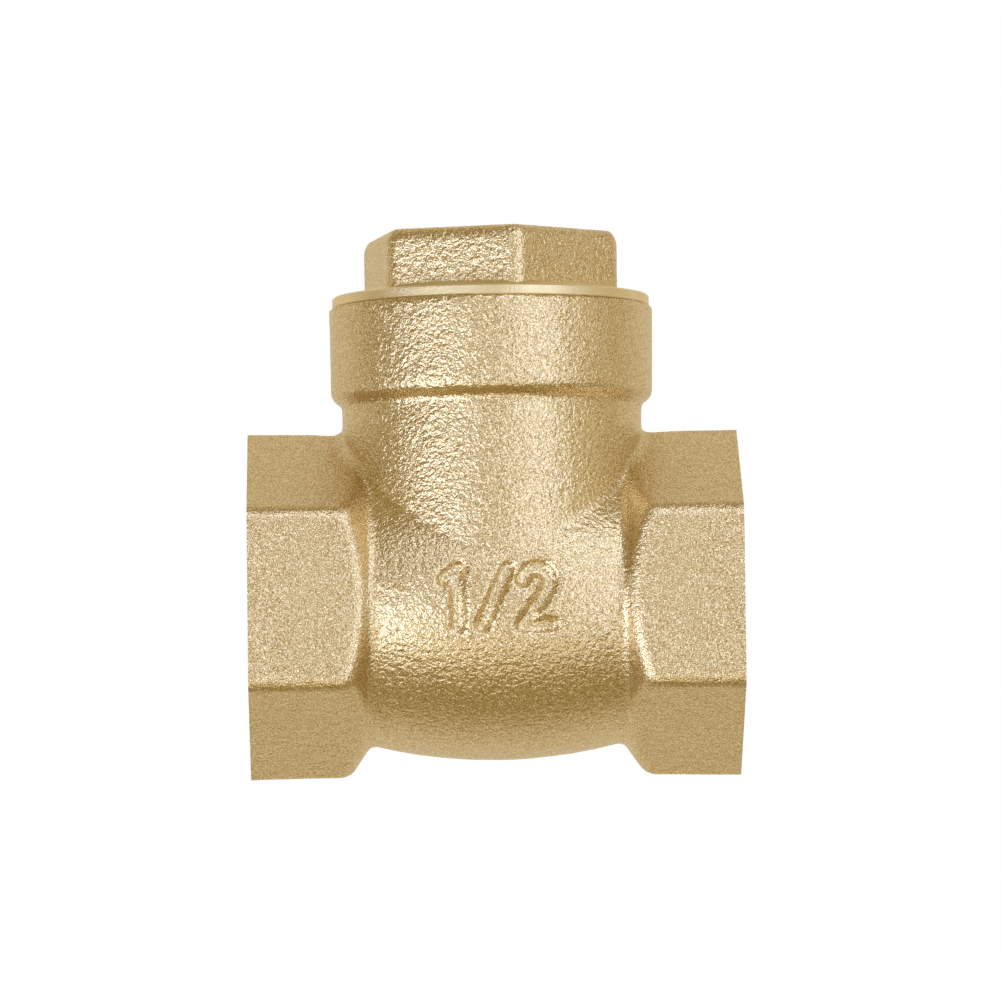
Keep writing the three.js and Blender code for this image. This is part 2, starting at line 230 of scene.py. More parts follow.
# How shapes are drawn: sides of a circle, steps in one pitch of a thread, angles that stay sharp
ROUND = 160
SMALL_ROUND = 72
THREAD_ROUND = 112
THREAD_STEPS = 8
SHARP_ANGLE = math.radians(38)
SOFTENED_ANGLE = math.radians(40)
BEYOND = 1.0  # how far a cutter reaches past the surface it cuts
OVERLAP = 0.02


# ---- Materials ----------------------------------------------------------------------------------

# A Mix node's sockets for colours
MIX_FACTOR = 0
MIX_FIRST = 6
MIX_SECOND = 7
MIX_RESULT = 2

# The blasted grain, with distances from the neck's axis
PEBBLE_DEPTH = 0.125
GRAIN_DEPTH = 0.04
BARREL_GRAIN_END = 10.5
FLATS_GRAIN_START = 12.5

SMOOTH_BRASS = {"dull": (0.9, 0.76, 0.48), "bright": (0.95, 0.82, 0.56), "roughness": (0.32, 0.42)}
# Machined brass for the faced ends. It is rougher, and its colours are darkened as painted shade
# that holds down a lamp's bright reflection on the end faces.
SHADED_ROUGH_BRASS = {"dull": (0.55, 0.42, 0.22), "bright": (0.62, 0.48, 0.26), "roughness": (0.5, 0.6)}


class Nodes:
    """A material with a Principled shader, and short ways to add and join nodes."""

    def __init__(self, name, **shader):
        self.material = bpy.data.materials.new(name)
        self.material.use_nodes = True
        self.tree = self.material.node_tree
        self.shader = self.tree.nodes["Principled BSDF"]
        for socket, value in shader.items():
            self.shader.inputs[socket.replace("_", " ")].default_value = value
        self.place = self.add("ShaderNodeTexCoord").outputs["Object"]

    def add(self, kind, inputs=None, **settings):
        node = self.tree.nodes.new(kind)
        for name, value in settings.items():
            setattr(node, name, value)
        for name, value in (inputs or {}).items():
            if isinstance(value, bpy.types.NodeSocket):
                self.tree.links.new(value, node.inputs[name])
            else:
                node.inputs[name].default_value = value
        return node

    def noise(self, size_mm, detail=2.0, roughness=0.5, distortion=0.0):
        """Noise whose blobs are about size_mm across."""
        values = {
            "Vector": self.place,
            "Scale": 1 / (size_mm * MM),
            "Detail": detail,
            "Roughness": roughness,
            "Distortion": distortion,
        }
        return self.add("ShaderNodeTexNoise", values).outputs["Fac"]

    def part_of_place(self, axis):
        return self.add("ShaderNodeSeparateXYZ", {"Vector": self.place}).outputs[axis]

    def ramp(self, value, low, high, to_low=0.0, to_high=1.0):
        values = {"Value": value, 1: low, 2: high, 3: to_low, 4: to_high}
        return self.add("ShaderNodeMapRange", values).outputs["Result"]

    def mix(self, factor, first, second):
        node = self.add("ShaderNodeMix", {MIX_FACTOR: factor}, data_type="RGBA")
        for index, value in ((MIX_FIRST, first), (MIX_SECOND, second)):
            if isinstance(value, bpy.types.NodeSocket):
                self.tree.links.new(value, node.inputs[index])
            else:
                node.inputs[index].default_value = (*value, 1)
        return node.outputs[MIX_RESULT]

    def math(self, operation, first, second):
        return self.add("ShaderNodeMath", {0: first, 1: second}, operation=operation).outputs[0]

    def bump(self, height, depth_mm, below=None):
        values = {"Height": height, "Distance": depth_mm * MM}
        if below is not None:
            values["Normal"] = below
        return self.add("ShaderNodeBump", values).outputs["Normal"]

    def set(self, socket, value):
        self.tree.links.new(value, self.shader.inputs[socket])


def blasted_brass():
    """Forged brass, sand-blasted: a fine grain over pebbles that are flatter on the hexagons."""
    nodes = Nodes("blasted_brass", Metallic=1.0)
    cloud = nodes.noise(5, detail=3)
    speckle = nodes.ramp(nodes.noise(0.11, detail=1), 0.38, 0.62)
    grain = nodes.noise(0.15, detail=1, roughness=0.6)
    pebble = nodes.noise(0.42, detail=1, distortion=0.5)
    dull = nodes.mix(cloud, (0.57, 0.38, 0.15), (0.63, 0.45, 0.2))
    nodes.set("Base Color", nodes.mix(speckle, dull, (1.0, 0.88, 0.62)))
    nodes.set("Roughness", nodes.ramp(grain, 0.3, 0.7, 0.22, 0.34))
    along_flow = nodes.math("SUBTRACT", nodes.part_of_place("X"), END * MM)
    from_neck = nodes.math("ABSOLUTE", along_flow, 0.0)
    flatter = nodes.ramp(from_neck, BARREL_GRAIN_END * MM, FLATS_GRAIN_START * MM, 1.0, 0.5)
    sharper = nodes.ramp(from_neck, BARREL_GRAIN_END * MM, FLATS_GRAIN_START * MM, 1.0, 1.3)
    pebbles = nodes.bump(nodes.math("MULTIPLY", pebble, flatter), PEBBLE_DEPTH)
    grains = nodes.math("MULTIPLY", grain, sharper)
    nodes.set("Normal", nodes.bump(grains, GRAIN_DEPTH, pebbles))
    return nodes.material


def machined_brass(name, dull, bright, roughness):
    """Machined brass with fine tool marks."""
    nodes = Nodes(name, Metallic=1.0)
    cloud = nodes.noise(3, detail=3)
    nodes.set("Base Color", nodes.mix(nodes.ramp(cloud, 0.3, 0.7), dull, bright))
    nodes.set("Roughness", nodes.ramp(nodes.noise(0.8), 0.3, 0.7, *roughness))
    nodes.set("Normal", nodes.bump(nodes.noise(0.12), 0.03))
    return nodes.material


def steel():
    nodes = Nodes("turned_steel", Metallic=1.0)
    cloud = nodes.noise(2, detail=3)
    nodes.set("Base Color", nodes.mix(cloud, (0.52, 0.52, 0.53), (0.62, 0.62, 0.62)))
    nodes.set("Roughness", nodes.ramp(nodes.noise(0.5), 0.3, 0.7, 0.2, 0.34))
    nodes.set("Normal", nodes.bump(nodes.noise(0.15), 0.008))
    return nodes.material


def rubber():
    nodes = Nodes("black_rubber")
    cloud = nodes.noise(1.5, detail=4)
    nodes.set("Base Color", nodes.mix(cloud, (0.012, 0.012, 0.014), (0.03, 0.03, 0.032)))
    nodes.set("Roughness", nodes.ramp(cloud, 0.3, 0.7, 0.5, 0.7))
    nodes.set("Normal", nodes.bump(nodes.noise(0.2, detail=4), 0.02))
    return nodes.material


def ptfe():
    nodes = Nodes("white_ptfe", Subsurface_Weight=0.2)
    nodes.shader.inputs["Subsurface Radius"].default_value = (MM, MM, MM)
    cloud = nodes.noise(2, detail=4)
    nodes.set("Base Color", nodes.mix(cloud, (0.8, 0.79, 0.76), (0.88, 0.87, 0.85)))
    nodes.set("Roughness", nodes.ramp(cloud, 0.3, 0.7, 0.35, 0.5))
    nodes.set("Normal", nodes.bump(nodes.noise(0.3), 0.01))
    return nodes.material


BLASTED = blasted_brass()
TURNED = machined_brass("turned_brass", **SMOOTH_BRASS)
SHADED_FACED = machined_brass("faced_brass_painted_shade", **SHADED_ROUGH_BRASS)
STEEL = steel()
RUBBER = rubber()
PTFE = ptfe()


# ---- Fields: signed distances on a grid ---------------------------------------------------------


def round_union(a, b, radius):
    """The union of two solids with a fillet where they meet."""
    notch = np.hypot(np.maximum(radius - a, 0), np.maximum(radius - b, 0))
    return np.maximum(radius, np.minimum(a, b)) - notch


def round_common(a, b, radius):
    """What two solids share, with a rounded edge where they meet."""
    edge = np.hypot(np.maximum(radius + a, 0), np.maximum(radius + b, 0))
    return np.minimum(-radius, np.maximum(a, b)) + edge


def fillet_share(facing):
    """How far round_union's radius shrinks so that it stays a true fillet between surfaces that
    face nearly the same way. facing is the cosine of the angle between their normals."""
    return (1 - np.sqrt((1 + facing) / 2)) / (1 - math.sqrt(0.5))


def grid(low, high, voxel):
    """Open axes of a grid, to be combined by broadcasting."""
    axes = (np.arange(a, b + voxel, voxel, dtype=np.float32) for a, b in zip(low, high))
    return np.ix_(*axes)


def grain_field(axes, size, seed):
    """Smooth noise between -1 and 1, made by stretching a random lattice over the grid."""
    weights = []
    for axis in axes:
        place = (axis.ravel() - axis.min()) / size
        cell = place.astype(int)
        blend = place - cell
        blend = blend * blend * (3 - 2 * blend)
        weight = np.zeros((len(place), cell[-1] + 2), np.float32)
        weight[np.arange(len(place)), cell] = 1 - blend
        weight[np.arange(len(place)), cell + 1] = blend
        weights.append(weight)
    lattice = np.random.default_rng(seed).uniform(-1, 1, [w.shape[1] for w in weights])
    field = lattice.astype(np.float32)
    for weight in weights:
        field = np.tensordot(field, weight, axes=(0, 1))
    return field


def hexagon_field(across, along, half_flat, edge, point_edge):
    """A hexagon whose two points on the along axis have an edge radius of their own."""
    slant = math.sqrt(3) / 2
    front = np.abs(across) - half_flat
    upper = np.abs(across / 2 + slant * along) - half_flat
    lower = np.abs(across / 2 - slant * along) - half_flat
    return round_common(front, round_common(upper, lower, point_edge), edge)


def hex_end_field(out, y, z, shoulder):
    """One hexagonal end, where out is the distance from the neck's axis towards that end."""
    half_flat = HEX_FLAT - HEX_DRAFT / 2 * (END - out) / HEX_LENGTH
    bar = hexagon_field(y, z, half_flat, HEX_EDGE, HEX_PARTING_EDGE)
    slope = shoulder["slope"]
    cone = np.hypot(y, z) - HEX_CORNER - (out - shoulder["corner"]) * slope
    bar = round_common(bar, cone / math.hypot(1, slope), SHOULDER_ROUND)
    return np.maximum(bar, out - END - BEYOND)


def groove(x, z, points, width):
    """A smooth groove along a run of strokes in the front view, from 0 at its edge to 1."""
    depth = np.zeros(np.broadcast(x, z).shape, np.float32)
    for (x0, z0), (x1, z1) in zip(points, points[1:]):
        run_x = x1 - x0
        run_z = z1 - z0
        along = (x - x0) * run_x + (z - z0) * run_z
        part = np.clip(along / (run_x**2 + run_z**2), 0, 1)
        away = np.hypot(x - x0 - part * run_x, z - z0 - part * run_z)
        slope = np.clip((1 - away / (width / 2)) / GROOVE_SIDE, 0, 1)
        depth = np.maximum(depth, 0.5 - 0.5 * np.cos(np.pi * slope))
    return depth


def nominal_size_mark(x, z):
    """The nominal size, one over two, in plain upright strokes of one height."""
    top = MARK_HALF_HEIGHT
    base = -MARK_HALF_HEIGHT
    one = [(-4.6, 1.5), (-3.4, top), (-3.4, base)]
    slash = [(1.0, top), (-1.3, base)]
    hook = []
    for turn in range(170, -31, -25):
        across = HOOK_RADIUS * math.cos(math.radians(turn))
        up = HOOK_RADIUS * math.sin(math.radians(turn))
        hook.append((HOOK_CENTRE[0] + across, HOOK_CENTRE[1] + up))
    two = [*hook, (2.3, base), (4.8, base)]
    strokes = [
        groove(x, z, one, MARK_STROKE),
        groove(x, z, slash, MARK_STROKE),
        groove(x, z, two, MARK_CURVE_STROKE),
    ]
    return np.max(strokes, axis=0)


def forging_field(axes):
    """The forging before it is machined: barrel, hexagon ends, neck, collar and mark."""
    x, y, z = axes
    from_flow = np.hypot(y, z)
    from_neck = np.hypot(x, y)
    barrel = from_flow - (BARREL_RADIUS - BARREL_CROWN + np.sqrt(BARREL_CROWN**2 - x**2))
    barrel = np.maximum(barrel, np.abs(x) - BARREL_REACH)
    body = round_union(barrel, hex_end_field(-x, y, z, INLET_SHOULDER), ROOT_FILLET)
    body = round_union(body, hex_end_field(x, y, z, OUTLET_SHOULDER), ROOT_FILLET)
    facing = y**2 / np.maximum(from_neck * from_flow, 1)
    neck = np.maximum(from_neck - NECK_RADIUS, -z)
    body = round_union(body, neck, NECK_FILLET * fillet_share(facing))
    draft = COLLAR_DRAFT * (COLLAR_TOP - z) / (COLLAR_TOP - COLLAR_BOTTOM)
    collar_radius = COLLAR_RADIUS - INSIDE - draft
    collar = round_common(from_neck - collar_radius, COLLAR_BOTTOM - z, COLLAR_ROUND)
    collar = round_common(collar, z - COLLAR_TOP - COLLAR_TOP_ROUND / 4, COLLAR_TOP_ROUND)
    body = round_union(body, collar, COLLAR_FILLET)
    body = np.maximum(body, z - COLLAR_TOP - BEYOND)
    mark = MARK_DEPTH * nominal_size_mark(x[:, 0], z[0])
    body += np.where(y < 0, mark[:, None, :], 0)
    fine = FORGING_RELIEF * grain_field(axes, FINE_LUMP, seed=1)
    body += fine + FORGING_RELIEF * grain_field(axes, FORGING_LUMP, seed=2)
    return body


def head_field(axes):
    """The cap's hexagon, with its corners chamfered."""
    x, y, z = axes
    across = x * math.cos(HEAD_TURN) + y * math.sin(HEAD_TURN)
    along = y * math.cos(HEAD_TURN) - x * math.sin(HEAD_TURN)
    head = hexagon_field(across, along, HEAD_FLAT, HEAD_EDGE, HEAD_EDGE)
    past_chamfer = np.maximum(np.hypot(x, y) - HEAD_CHAMFER_RADIUS, 0)
    top = z - HEAD_TOP + INSIDE + HEAD_CHAMFER_SLOPE * past_chamfer
    head = round_common(head, top, HEAD_TOP_ROUND)
    head = np.maximum(head, COLLAR_TOP + FLANGE_THICKNESS - z)
    relief = 1 + grain_field(axes, FINE_LUMP, seed=3) + grain_field(axes, HEAD_LUMP, seed=4)
    return head + HEAD_RELIEF * relief


def arm_field(axes):
    """The arm in the seat's own coordinates: a blade with a round foot, and its barrel."""
    x, y, z = axes
    blade = np.abs(x - (ARM_FRONT + ARM_BACK) / 2) - ARM_THICKNESS / 2
    half_width = ARM_FOOT_RADIUS + z / HINGE_IN_SEAT.z
    sides = np.maximum(np.abs(y) - half_width, np.maximum(-z, z - HINGE_IN_SEAT.z))
    foot = np.hypot(y, z) - ARM_FOOT_RADIUS
    blade = round_common(blade, np.minimum(sides, foot), ARM_EDGE)
    eye = np.hypot(x - HINGE_IN_SEAT.x, z - HINGE_IN_SEAT.z) - EYE_RADIUS
    eye = round_common(eye, np.abs(y) - LUG_FACE + EYE_SIDE_GAP, EYE_EDGE)
    return round_union(blade, eye, ARM_FILLET)


def skin(field, axes, voxel):
    """The surface where a field is zero, as points and faces."""
    volume = openvdb.FloatGrid(background=1.0)
    volume.copyFromArray(np.ascontiguousarray(field, dtype=np.float32))
    points, quads = volume.convertToQuads(isovalue=0.0)
    low = np.array([axis.min() for axis in axes])
    return points * voxel + low, quads[:, ::-1]


# ---- Meshes -------------------------------------------------------------------------------------


def piece(name, points, faces, material, place=STAY):
    """A mesh object from points in millimetres, moved by place and then to the body's centre."""
    mesh = bpy.data.meshes.new(name)
    mesh.from_pydata([tuple(point) for point in points], [], [tuple(face) for face in faces])
    mesh.transform(Matrix.Diagonal((MM, MM, MM, 1)) @ Matrix.Translation(CENTRE) @ place)
    mesh.materials.append(material)
    shape = bmesh.new()
    shape.from_mesh(mesh)
    if shape.calc_volume(signed=True) < 0:
        bmesh.ops.reverse_faces(shape, faces=shape.faces)
    shape.to_mesh(mesh)
    shape.free()
    made = bpy.data.objects.new(name, mesh)
    bpy.context.scene.collection.objects.link(made)
    return made


def turned(name, profile, material, place=STAY, segments=ROUND):
    """A profile of (radius, height) turned about Z. Its ends are on the axis or meet each other."""
    closed = profile[0] == profile[-1]
    rings = profile[:-1] if closed else profile
    points = []
    starts = []
    for radius, height in rings:
        starts.append((len(points), 1 if radius == 0 else segments))
        for k in range(starts[-1][1]):
            angle = 2 * math.pi * k / segments
            points.append((radius * math.cos(angle), radius * math.sin(angle), height))
    faces = []
    pairs = list(zip(starts, starts[1:]))
    if closed:
        pairs.append((starts[-1], starts[0]))
    for (a, a_count), (b, b_count) in pairs:
        for k in range(segments):
            low = [a + k % a_count, a + (k + 1) % a_count]
            high = [b + (k + 1) % b_count, b + k % b_count]
            face = list(dict.fromkeys(low + high))
            if len(face) > 2:
                faces.append(face)
    return piece(name, points, faces, material, place)


def disc(name, radius, low, high, material, place=STAY, segments=ROUND):
    profile = [(0, low), (radius, low), (radius, high), (0, high)]
    return turned(name, profile, material, place, segments)


def ring(name, inner, outer, low, high, material, place=STAY, segments=ROUND):
    profile = [(inner, low), (outer, low), (outer, high), (inner, high), (inner, low)]
    return turned(name, profile, material, place, segments)


def box(name, low, high, material, place=STAY):
    corners = list(itertools.product(*zip(low, high)))
    faces = [(0, 1, 3, 2), (4, 6, 7, 5), (0, 4, 5, 1), (2, 3, 7, 6), (0, 2, 6, 4), (1, 5, 7, 3)]
    return piece(name, corners, faces, material, place)


def prism(name, outline, low, high, material, place=STAY):
    """An outline in X and Z pushed along Y."""
    count = len(outline)
    points = [(x, y, z) for y in (low, high) for x, z in outline]
    faces = [tuple(range(count)), tuple(range(2 * count - 1, count - 1, -1))]
    for k in range(count):
        after = (k + 1) % count
        faces.append((k, count + k, count + after, after))
    return piece(name, points, faces, material, place)


def thread_radius(thread, phase):
    """A thread's radius where phase counts turns: flanks with rounded crests and roots."""
    saw = np.abs(2 * (phase - np.floor(phase)) - 1)
    step = np.clip(saw * 1.5 - 0.25, 0, 1)
    return thread["minor"] + thread["depth"] * step * step * (3 - 2 * step)


def threaded_rod(name, thread, low, high, material, trim, place=STAY, smaller=0.0):
    """A rod along Z with a right-hand thread. trim limits the radius at each height."""
    steps = max(2, round((high - low) / thread["pitch"] * THREAD_STEPS))
    heights = np.linspace(low, high, steps + 1)
    angles = np.arange(THREAD_ROUND) * 2 * math.pi / THREAD_ROUND
    phase = heights[:, None] / thread["pitch"] - angles / (2 * math.pi)
    radius = trim(thread_radius(thread, phase) - smaller, heights[:, None])
    x = radius * np.cos(angles)
    y = radius * np.sin(angles)
    z = np.broadcast_to(heights[:, None], x.shape)
    points = np.stack([x, y, z], axis=-1).reshape(-1, 3).tolist()
    points += [(0, 0, low), (0, 0, high)]
    faces = []
    for row in range(steps):
        for k in range(THREAD_ROUND):
            a = row * THREAD_ROUND + k
            b = row * THREAD_ROUND + (k + 1) % THREAD_ROUND
            faces.append((a, b, b + THREAD_ROUND, a + THREAD_ROUND))
    for k in range(THREAD_ROUND):
        after = (k + 1) % THREAD_ROUND
        faces.append((after, k, len(points) - 2))
        faces.append((steps * THREAD_ROUND + k, steps * THREAD_ROUND + after, len(points) - 1))
    return piece(name, points, faces, material, place)


def applied(target):
    """Replaces an object's mesh by the result of its modifiers."""
    graph = bpy.context.evaluated_depsgraph_get()
    mesh = bpy.data.meshes.new_from_object(target.evaluated_get(graph))
    old = target.data
    target.modifiers.clear()
    target.data = mesh
    bpy.data.meshes.remove(old)


def combine(target, tool, operation):
    """Joins tool to target or cuts it away, keeping the tool's material on the faces it leaves."""
    modifier = target.modifiers.new("combine", "BOOLEAN")
    modifier.operation = operation
    modifier.solver = "MANIFOLD"
    modifier.material_mode = "TRANSFER"
    modifier.object = tool
    applied(target)
    bpy.data.objects.remove(tool)


def cut(target, *tools):
    for tool in tools:
        combine(target, tool, "DIFFERENCE")


def join(target, *tools):
    for tool in tools:
        combine(target, tool, "UNION")


def soften(target, width_mm, segments=2):
    """Breaks a machined piece's sharp edges."""
    modifier = target.modifiers.new("soften", "BEVEL")
    modifier.width = width_mm * MM
    modifier.segments = segments
    modifier.limit_method = "ANGLE"
    modifier.angle_limit = SOFTENED_ANGLE
    modifier.use_clamp_overlap = True
    applied(target)


def finish_piece(target, body, node):
    target.data.shade_smooth()
    target.data.set_sharp_from_angle(angle=SHARP_ANGLE)
    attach(target, body)
    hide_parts(node)


# ---- The body -----------------------------------------------------------------------------------


def port_cutter(name, place, inner, start, bottom):
    """A cutter for a threaded port with a 45 degree mouth. The port ends at inner, and the cutter
    itself runs from start. A bottom smaller than the port is reached by a cone."""
    minor = PORT_THREAD["minor"]
    mouth = minor + PORT_THREAD["depth"]

    def trim(radius, height):
        opened = np.maximum(radius, mouth - (END - height))
        relief = np.clip((height - inner - THREAD_FADE) / THREAD_FADE, 0, 1)
        faded = minor + (radius - minor) * relief
        return np.where(height > END - MOUTH_DEPTH, opened, faded)

    rod = threaded_rod(name, PORT_THREAD, start, END + BEYOND, TURNED, trim, place)
    if bottom < minor:
        tip = inner - (minor - bottom) * PORT_CONE_SLOPE
        base = inner + OVERLAP
        profile = [(0, tip), (bottom, tip), (minor - OVERLAP, base), (0, base)]
        join(rod, turned(name + "_cone", profile, TURNED, place))
    return rod


def inlet_port():
    inner = END - INLET_DEPTH
    return port_cutter("inlet_port", TO_MINUS_X, inner, inner, SEAT_BORE_RADIUS)


def outlet_port():
    inner = END - OUTLET_DEPTH
    return port_cutter("outlet_port", TO_X, inner, inner - BEYOND / 2, PORT_THREAD["minor"])


def barrel_curve(low, high, inset, steps):
    """The crowned barrel's outline as (radius, x), brought in by inset."""
    curve = []
    for x in np.linspace(low, high, steps + 1):
        crown = math.sqrt(BARREL_CROWN**2 - x**2)
        curve.append((BARREL_RADIUS - BARREL_CROWN + crown - inset, x))
    return curve


def chamber_cutter():
    """The hollow behind the seat, less the wall that carries the seat."""
    reach = END - OUTLET_DEPTH
    curve = barrel_curve(-reach, reach, CHAMBER_WALL, CHAMBER_STEPS)
    hollow = turned("chamber", [(0, -reach), *curve, (0, reach)], BLASTED, TO_X)
    join(hollow, disc("neck_bore", NECK_BORE_RADIUS, 0, COLLAR_TOP + 2 * BEYOND, TURNED))
    bridge_high = (-SEAT_LAND_HEIGHT, END, BRIDGE_TOP)
    cut(hollow, box("bridge", (-END, -END, -END), bridge_high, TURNED, SEAT))
    return hollow


def hinge_outline(radius, top):
    """A U round the hinge that runs straight up to top."""
    arc = []
    for angle in np.linspace(-math.pi, 0, 25):
        arc.append((hinge.x + radius * math.cos(angle), hinge.z + radius * math.sin(angle)))
    return [*arc, (hinge.x + radius, top), (hinge.x - radius, top)]


def lugs():
    """The two ears in the neck that hold the hinge's pin."""
    wall = disc("lug_wall", (NECK_BORE_RADIUS + NECK_RADIUS) / 2, 0, LUG_TOP, TURNED)
    outline = hinge_outline(LUG_RADIUS, LUG_TOP + BEYOND)
    pair = prism("lugs", outline, -NECK_RADIUS, NECK_RADIUS, TURNED)
    cut(pair, box("lug_gap", (-END, -LUG_FACE, -END), (END, LUG_FACE, END), TURNED))
    combine(pair, wall, "INTERSECT")
    return pair


def cap_seat_cutters():
    """The collar's faced top, its thread and the gasket's pocket."""
    top = COLLAR_TOP
    facing = disc("facing", COLLAR_RADIUS + BEYOND, top, top + 2 * BEYOND, TURNED)
    thread_low = top - COLLAR_THREAD_DEPTH

    def trim(radius, height):
        return np.where(height < thread_low + COLLAR_THREAD_RUNOUT, CAP_THREAD["minor"], radius)

    thread = threaded_rod("collar_thread", CAP_THREAD, thread_low, top + BEYOND, TURNED, trim)
    pocket = disc("pocket", GASKET_POCKET_RADIUS, top - GASKET_THICKNESS, top + BEYOND, TURNED)
    return facing, thread, pocket


def forged_body():
    low = (-END - END_MARGIN, -COLLAR_RADIUS - SIDE_MARGIN, -HEX_CORNER - SIDE_MARGIN)
    high = (END + END_MARGIN, COLLAR_RADIUS + SIDE_MARGIN, COLLAR_TOP + TOP_MARGIN)
    axes = grid(low, high, FORGING_VOXEL)
    points, faces = skin(forging_field(axes), axes, FORGING_VOXEL)
    body = piece("forged_body", points, faces, BLASTED)
    cut(body, chamber_cutter())
    land_root = -SEAT_LAND_HEIGHT - SEAT_LAND_ROOT
    join(body, disc("seat_land", SEAT_LAND_RADIUS, land_root, 0, TURNED, SEAT @ TO_X))
    join(body, lugs())
    slot = hinge_outline(PIN_RADIUS + RUNNING_CLEARANCE, LUG_TOP + 2 * BEYOND)
    reach = PIN_HALF_LENGTH + PIN_END_GAP
    cut(body, prism("pin_slots", slot, -reach, reach, TURNED))
    cut(body, inlet_port(), outlet_port())
    straight = (-END + INLET_DEPTH, seat_centre.x - STRAIGHT_BORE_STOP)
    cut(body, disc("straight_bore", SEAT_BORE_RADIUS, *straight, TURNED, TO_X))
    cut(body, disc("seat_bore", SEAT_BORE_RADIUS, -SEAT_BORE_DEPTH, BEYOND, TURNED, SEAT @ TO_X))
    cut(body, *cap_seat_cutters())
    for side in (-1, 1):
        ends = sorted((side * END, side * (END + 2 * BEYOND)))
        # The end faces take the darker machined brass, which is painted shade against a lamp's
        # reflection.
        cut(body, box("end_facing", (ends[0], -END, -END), (ends[1], END, END), SHADED_FACED))
    finish_piece(body, "valve", "valve_body")


# ---- The cap ------------------------------------------------------------------------------------


def screwed_cap():
    flange_low = COLLAR_TOP + GAP
    flange_high = flange_low + FLANGE_THICKNESS
    corner = HEAD_FLAT * 2 / math.sqrt(3)
    low = (-corner - 1, -corner - 1, flange_high - 1)
    high = (corner + 1, corner + 1, HEAD_TOP + 1)
    axes = grid(low, high, CAP_VOXEL)
    points, faces = skin(head_field(axes), axes, CAP_VOXEL)
    cap = piece("screwed_cap", points, faces, BLASTED)
    flange = turned(
        "flange",
        [
            (0, flange_low),
            (FLANGE_RADIUS - FLANGE_LOW_EDGE, flange_low),
            (FLANGE_RADIUS, flange_low + FLANGE_LOW_EDGE),
            (FLANGE_RADIUS, flange_high - FLANGE_HIGH_EDGE),
            (FLANGE_RADIUS - FLANGE_HIGH_EDGE, flange_high),
            (corner + 0.1, flange_high),
            (corner - 0.5, flange_high + BASE_BAND),
            (0, flange_high + BASE_BAND),
        ],
        TURNED,
    )
    join(cap, flange)
    thread_low = flange_low - CAP_THREAD_LENGTH

    def trim(radius, height):
        chamfered = CAP_THREAD["minor"] - STEM_TIP_CHAMFER + (height - thread_low)
        grooved = CAP_THREAD["minor"] - STEM_GROOVE_DEPTH
        in_groove = height > flange_low - STEM_GROOVE_LENGTH
        return np.minimum(np.where(in_groove, grooved, radius), chamfered)

    ends = (thread_low, flange_low + OVERLAP)
    stem = threaded_rod("stem", CAP_THREAD, *ends, TURNED, trim, smaller=CAP_THREAD_CLEARANCE)
    join(cap, stem)
    join(cap, disc("skirt", SKIRT_RADIUS, SKIRT_BOTTOM, thread_low + OVERLAP, TURNED))
    hollow = [
        (0, SKIRT_BOTTOM - BEYOND),
        (SKIRT_BORE_RADIUS, SKIRT_BOTTOM - BEYOND),
        (SKIRT_BORE_RADIUS, CAP_HOLLOW_TOP - CAP_HOLLOW_CHAMFER),
        (SKIRT_BORE_RADIUS - CAP_HOLLOW_CHAMFER, CAP_HOLLOW_TOP),
        (0, CAP_HOLLOW_TOP),
    ]
    cut(cap, turned("cap_hollow", hollow, TURNED))
    finish_piece(cap, "cap", "bonnet_cap")


def sealing_ring():
    low = COLLAR_TOP - GASKET_THICKNESS + GAP
    outer = GASKET_POCKET_RADIUS - SIDE_GAP
    made = ring("sealing_ring", GASKET_BORE_RADIUS, outer, low, COLLAR_TOP, PTFE)
    soften(made, width_mm=0.1)
    finish_piece(made, "gasket", "cap_gasket")


# ---- The clapper --------------------------------------------------------------------------------


def pivot_pin():
    place = Matrix.Translation(hinge) @ TO_Y
    ends = (-PIN_HALF_LENGTH, PIN_HALF_LENGTH)
    made = disc("pivot_pin", PIN_RADIUS, *ends, STEEL, place, SMALL_ROUND)
    soften(made, width_mm=0.3)
    finish_piece(made, "valve", "hinge_pin")


def swing_arm():
    side = LUG_FACE + ARM_MARGIN
    low = (EYE_FRONT, -side, -ARM_FOOT_RADIUS - ARM_MARGIN)
    high = (ARM_BACK + 0.8, side, HINGE_IN_SEAT.z + EYE_RADIUS + ARM_MARGIN)
    axes = grid(low, high, ARM_VOXEL)
    points, faces = skin(arm_field(axes), axes, ARM_VOXEL)
    made = piece("swing_arm", points, faces, TURNED, SEAT)
    place = SEAT @ Matrix.Translation(HINGE_IN_SEAT) @ TO_Y
    pin_hole = PIN_RADIUS + RUNNING_CLEARANCE
    cut(made, disc("pin_hole", pin_hole, -LUG_FACE, LUG_FACE, TURNED, place, SMALL_ROUND))
    place = SEAT @ TO_X
    bolt_hole = BOLT_RADIUS + RUNNING_CLEARANCE
    cut(made, disc("bolt_hole", bolt_hole, 0, ARM_BACK + BEYOND, TURNED, place, SMALL_ROUND))
    finish_piece(made, "arm", "hinge_arm")


def disc_cup():
    """The turned cup that holds the rubber, with a shallow step on its back."""
    pocket = SEAL_RADIUS + SIDE_GAP
    plate = HOLDER_BACK - HOLDER_PLATE
    hole = BOLT_RADIUS + GAP
    step = HOLDER_BACK - HOLDER_STEP
    profile = [
        (hole, plate),
        (pocket, plate),
        (pocket, HOLDER_RIM),
        (HOLDER_RADIUS, HOLDER_RIM),
        (HOLDER_RADIUS, HOLDER_BACK - 0.45),
        (HOLDER_RADIUS - 0.3, step),
        (ARM_FOOT_RADIUS + 1.4, step),
        (ARM_FOOT_RADIUS + 1.2, HOLDER_BACK),
        (hole, HOLDER_BACK),
        (hole, plate),
    ]
    made = turned("disc_cup", profile, TURNED, SEAT @ TO_X)
    soften(made, width_mm=0.08)
    finish_piece(made, "disc", "disc_holder")


